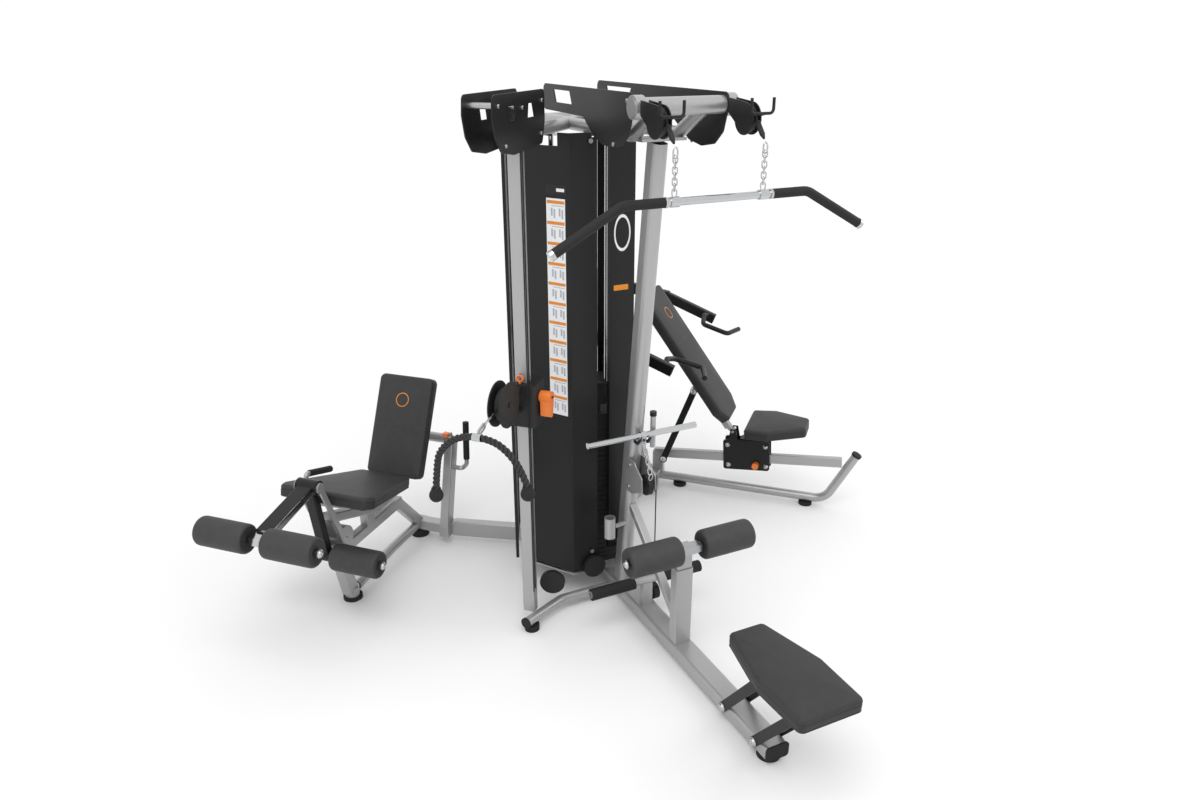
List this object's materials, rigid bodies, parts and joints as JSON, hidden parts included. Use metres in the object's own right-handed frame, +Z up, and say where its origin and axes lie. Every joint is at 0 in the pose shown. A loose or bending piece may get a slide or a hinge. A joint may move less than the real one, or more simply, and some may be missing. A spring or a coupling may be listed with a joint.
{
  "type": "multi station home gym",
  "caption": "Free-standing strength tower with a pulldown and row station, a height-set pulley column, a seated leg machine and a reclining press around shared weight stacks.",
  "frame": {"origin": "on the floor under the middle of the object's bounding box, measured without the pull rope", "axes": "+Z up; -Y out along the pulldown and row station; the pulley column and the leg machine point to -X -Y, the press to +X -Y"},
  "size_m": [3.1384, 2.9751, 2.147],
  "materials": {
    "silver_paint": "satin metallic powder coat",
    "black_paint": "satin powder coat",
    "chrome": "polished",
    "upholstery": "fine grained vinyl with seams",
    "roller_foam": "soft closed-cell foam skin",
    "rubber": "moulded, matt",
    "black_plastic": "fine moulded texture",
    "orange_plastic": "smooth",
    "cast_iron": "black painted",
    "rope_fibre": "twisted black rope",
    "steel": "zinc plated"
  },
  "bodies": {
    "frame": {"base_frame": "silver_paint", "mast": "silver_paint", "column": "silver_paint", "top_frame": "silver_paint", "lat_top_plates": "black_paint", "column_top_plates": "black_paint", "shroud_front": "black_paint", "shroud_side": "black_paint", "shroud_leg": "black_paint", "shroud_press": "black_paint", "guide_rods": "chrome", "weight_stacks": "cast_iron", "lat_pulleys": "black_paint", "low_pulley": "silver_paint", "foot_bar": "silver_paint", "socket_tube": "silver_paint", "knee_post": "silver_paint", "lat_seat": "upholstery", "seat_links": "black_paint", "leg_frame": "silver_paint", "leg_seat": "upholstery", "press_base": "silver_paint", "press_frame": "silver_paint", "feet": "rubber", "pulley_covers": "black_plastic", "grips_fixed": "rubber", "bolts": "steel"},
    "lat_pull": {"lat_bar": "chrome", "lat_grips": "rubber", "lat_chains": "chrome"},
    "lat_stack": {"lat_head": "cast_iron"},
    "row_pull": {"row_bar": "chrome", "row_chain": "chrome"},
    "column_stack": {"column_head": "cast_iron"},
    "leg_stack": {"leg_head": "cast_iron"},
    "press_stack": {"press_head": "cast_iron"},
    "knee_slide": {"knee_slide": "silver_paint"},
    "knee_roller_left": {"knee_roller_left": "roller_foam"},
    "knee_roller_right": {"knee_roller_right": "roller_foam"},
    "carriage": {"carriage": "black_plastic"},
    "carriage_lever": {"carriage_lever": "orange_plastic"},
    "carriage_pin": {"carriage_pin": "orange_plastic"},
    "swivel_pulley": {"swivel_pulley": "black_plastic"},
    "pull_rope": {"carabiner": "steel", "rope": "rope_fibre", "rope_ends": "rubber"},
    "leg_back": {"leg_back": "upholstery", "leg_back_mount": "silver_paint"},
    "leg_trigger": {"leg_trigger": "orange_plastic"},
    "leg_lever": {"leg_lever": "black_paint"},
    "leg_rollers_front": {"leg_rollers_front": "roller_foam"},
    "leg_rollers_rear": {"leg_rollers_rear": "roller_foam"},
    "press_arms": {"press_arms": "black_paint"},
    "press_carriage": {"press_carriage": "black_paint", "press_seat": "upholstery"},
    "press_knob": {"press_knob": "orange_plastic"},
    "press_back": {"press_back": "upholstery", "press_back_plate": "silver_paint"},
    "press_strut": {"press_strut": "black_paint"}
  },
  "joints": [
    {"name": "lat_pull_down", "type": "slide", "parent": "frame", "child": "lat_pull", "axis": [0, 0, -1], "range_m": [0, 0.8]},
    {"name": "lat_stack_lift", "type": "slide", "parent": "frame", "child": "lat_stack", "axis": [0, 0, 1], "range_m": [0, 0.4]},
    {"name": "row_pull_out", "type": "slide", "parent": "frame", "child": "row_pull", "axis": [0, -0.7071, 0.7071], "range_m": [0, 0.45]},
    {"name": "column_stack_lift", "type": "slide", "parent": "frame", "child": "column_stack", "axis": [0, 0, 1], "range_m": [0, 0.3]},
    {"name": "leg_stack_lift", "type": "slide", "parent": "frame", "child": "leg_stack", "axis": [0, 0, 1], "range_m": [0, 0.27]},
    {"name": "press_stack_lift", "type": "slide", "parent": "frame", "child": "press_stack", "axis": [0, 0, 1], "range_m": [0, 0.28]},
    {"name": "knee_height", "type": "slide", "parent": "frame", "child": "knee_slide", "axis": [0, 0, 1], "range_m": [0, 0.09]},
    {"name": "knee_roller_left_spin", "type": "hinge", "parent": "knee_slide", "child": "knee_roller_left", "pos_m": [-0.0422, -0.6355, 0.522], "axis": [1, 0, 0], "continuous": true},
    {"name": "knee_roller_right_spin", "type": "hinge", "parent": "knee_slide", "child": "knee_roller_right", "pos_m": [0.2718, -0.6355, 0.522], "axis": [1, 0, 0], "continuous": true},
    {"name": "carriage_height", "type": "slide", "parent": "frame", "child": "carriage", "axis": [0, 0, 1], "range_m": [-0.7, 0.74]},
    {"name": "carriage_lever_turn", "type": "hinge", "parent": "carriage", "child": "carriage_lever", "pos_m": [-0.26492, -0.17532, 1.038], "axis": [0.7071, -0.7071, 0], "range_deg": [0, 15], "stiffness_Nm_per_rad": 1, "springref_deg": -11.46},
    {"name": "carriage_pin_lift", "type": "slide", "parent": "carriage", "child": "carriage_pin", "axis": [0, 0, 1], "range_m": [0, 0.012], "stiffness_N_per_m": 600, "springref_m": -0.005},
    {"name": "swivel_turn", "type": "hinge", "parent": "carriage", "child": "swivel_pulley", "pos_m": [-0.3929, -0.1732, 1.04], "axis": [0, 0, 1], "range_deg": [-60, 60]},
    {"name": "rope_pull", "type": "slide", "parent": "swivel_pulley", "child": "pull_rope", "axis": [-0.7071, -0.7071, 0], "range_m": [0, 0.6]},
    {"name": "leg_back_tilt", "type": "hinge", "parent": "frame", "child": "leg_back", "pos_m": [-0.50887, 0.87049, 0.512], "axis": [0.7071, -0.7071, 0], "range_deg": [-12, 0]},
    {"name": "leg_trigger_turn", "type": "hinge", "parent": "frame", "child": "leg_trigger", "pos_m": [-0.40846, 0.73614, 0.549], "axis": [0.7071, -0.7071, 0], "range_deg": [0, 12], "stiffness_Nm_per_rad": 0.5, "springref_deg": -11.46},
    {"name": "leg_lever_swing", "type": "hinge", "parent": "frame", "child": "leg_lever", "pos_m": [-1.12123, 0.25813, 0.647], "axis": [-0.7071, 0.7071, 0], "range_deg": [0, 75]},
    {"name": "leg_rollers_front_spin", "type": "hinge", "parent": "leg_lever", "child": "leg_rollers_front", "pos_m": [-1.35103, 0.02833, 0.576], "axis": [0.7071, -0.7071, 0], "continuous": true},
    {"name": "leg_rollers_rear_spin", "type": "hinge", "parent": "leg_lever", "child": "leg_rollers_rear", "pos_m": [-1.08163, 0.29773, 0.3], "axis": [0.7071, -0.7071, 0], "continuous": true},
    {"name": "press_arms_swing", "type": "hinge", "parent": "frame", "child": "press_arms", "pos_m": [0.51785, 1.09111, 0.985], "axis": [-0.7071, -0.7071, 0], "range_deg": [0, 45]},
    {"name": "press_carriage_slide", "type": "slide", "parent": "frame", "child": "press_carriage", "axis": [0.7043, -0.7043, 0.0896], "range_m": [0, 0.12]},
    {"name": "press_knob_pull", "type": "slide", "parent": "press_carriage", "child": "press_knob", "axis": [-0.7071, -0.7071, 0], "range_m": [0, 0.01], "stiffness_N_per_m": 500, "springref_m": -0.006},
    {"name": "press_back_recline", "type": "hinge", "parent": "press_carriage", "child": "press_back", "pos_m": [1.09061, 0.51835, 0.372], "axis": [-0.7071, -0.7071, 0], "range_deg": [0, 12.2]},
    {"name": "press_strut_turn", "type": "hinge", "parent": "frame", "child": "press_strut", "pos_m": [0.7809, 0.72341, 0.176], "axis": [0.7071, 0.7071, 0], "range_deg": [0, 11]}
  ],
  "couplings": [
    {"joint": "lat_stack_lift", "follows": "lat_pull_down", "ratio": 0.5},
    {"joint": "column_stack_lift", "follows": "rope_pull", "ratio": 0.5},
    {"joint": "leg_stack_lift", "follows": "leg_lever_swing", "m_per_rad": 0.2},
    {"joint": "press_stack_lift", "follows": "press_arms_swing", "m_per_rad": 0.35},
    {"joint": "press_back_recline", "follows": "press_carriage_slide", "rad_per_m": 1.7462},
    {"joint": "press_strut_turn", "follows": "press_carriage_slide", "rad_per_m": 1.5696}
  ]
}
